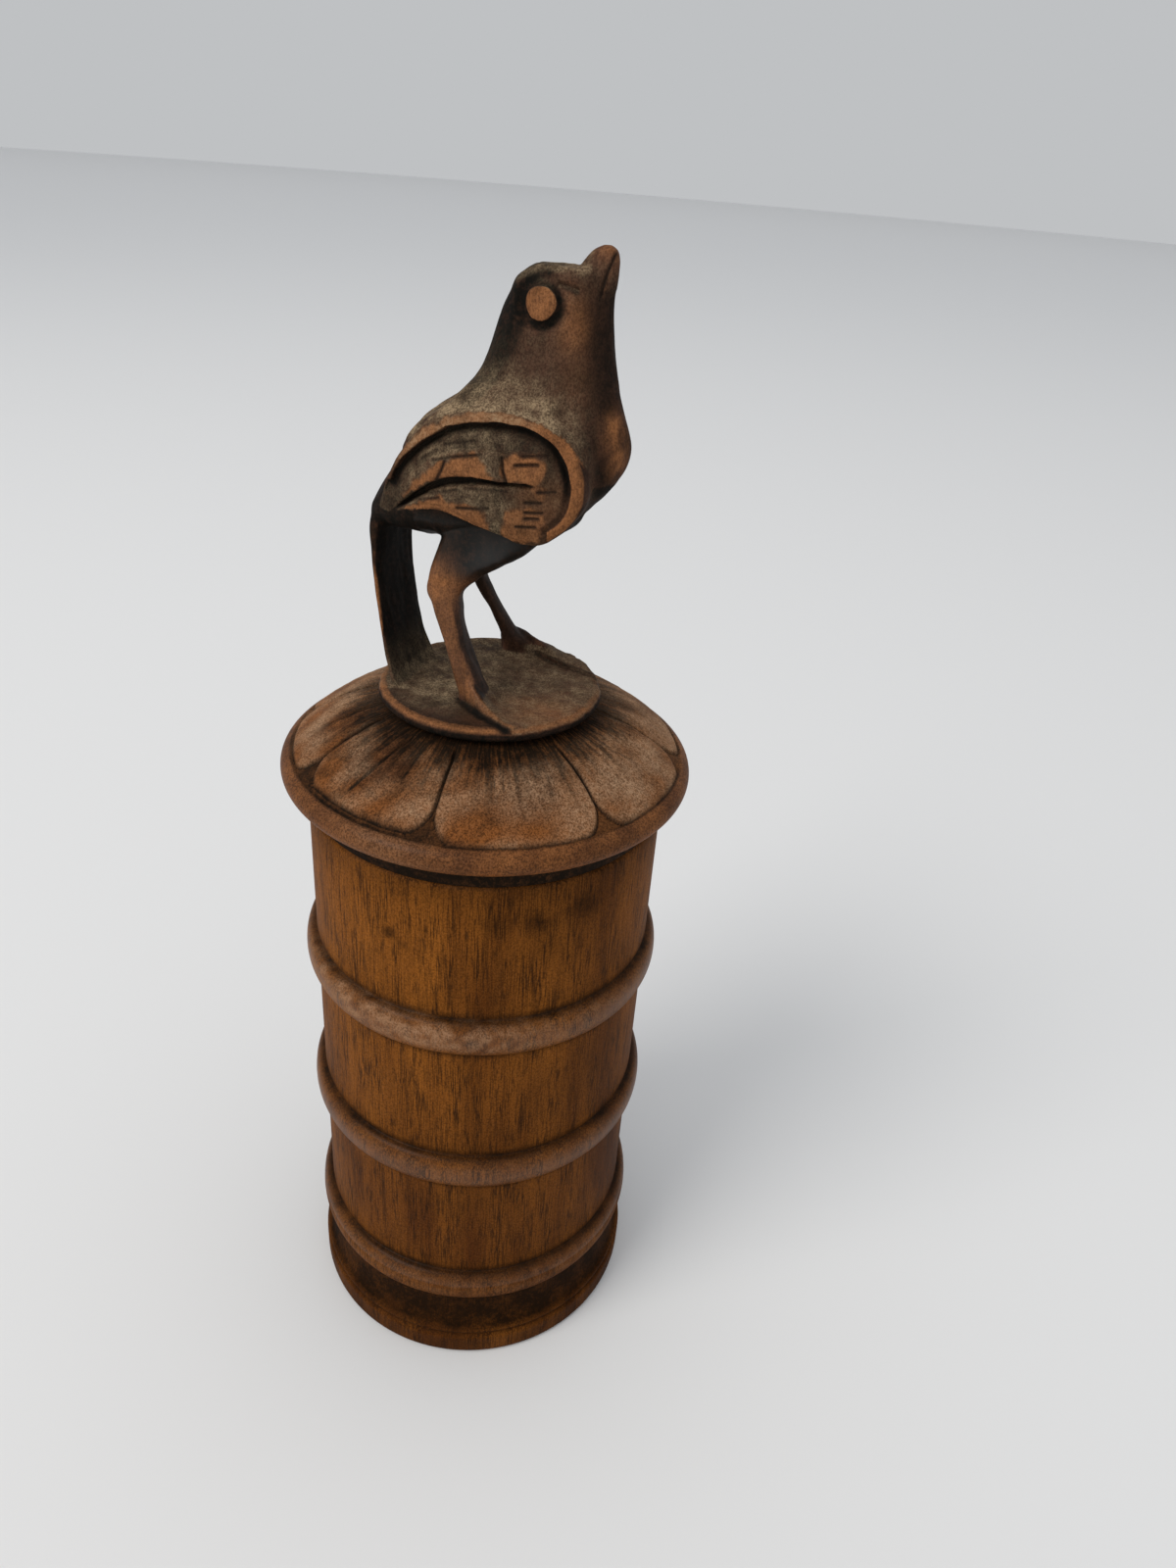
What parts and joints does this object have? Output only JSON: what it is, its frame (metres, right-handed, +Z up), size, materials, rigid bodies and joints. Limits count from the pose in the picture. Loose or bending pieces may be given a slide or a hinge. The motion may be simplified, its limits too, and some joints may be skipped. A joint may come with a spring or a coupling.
{
  "type": "lidded wooden pot",
  "caption": "Tall turned wooden pot with raised beads and a lift-off domed lid carved with petals, topped by a carved long-legged bird looking up.",
  "frame": {"origin": "centre of the foot's flat underside, on the surface that the pot stands on", "axes": "+Z up along the turning axis, -Y towards the viewer of the picture, +X to the viewer's right"},
  "size_m": [0.0999, 0.0998, 0.291],
  "materials": {
    "pot_wood": "waxed warm brown hardwood with fine dark vertical grain, worn beads and a darker foot",
    "lid_wood": "dry brown hardwood with speckled grain, dark grime between the petals and a rounded orange-brown rim",
    "bird_wood": "near-black stained hardwood worn to orange-brown on the high places, dusty on the back and stand"
  },
  "bodies": {
    "pot": {"pot": "pot_wood"},
    "lid": {"lid": "lid_wood", "bird": "bird_wood"}
  },
  "joints": [
    {"name": "lid_lift", "type": "slide", "parent": "pot", "child": "lid", "axis": [0, 0, 1], "range_m": [0, 0.12]}
  ]
}
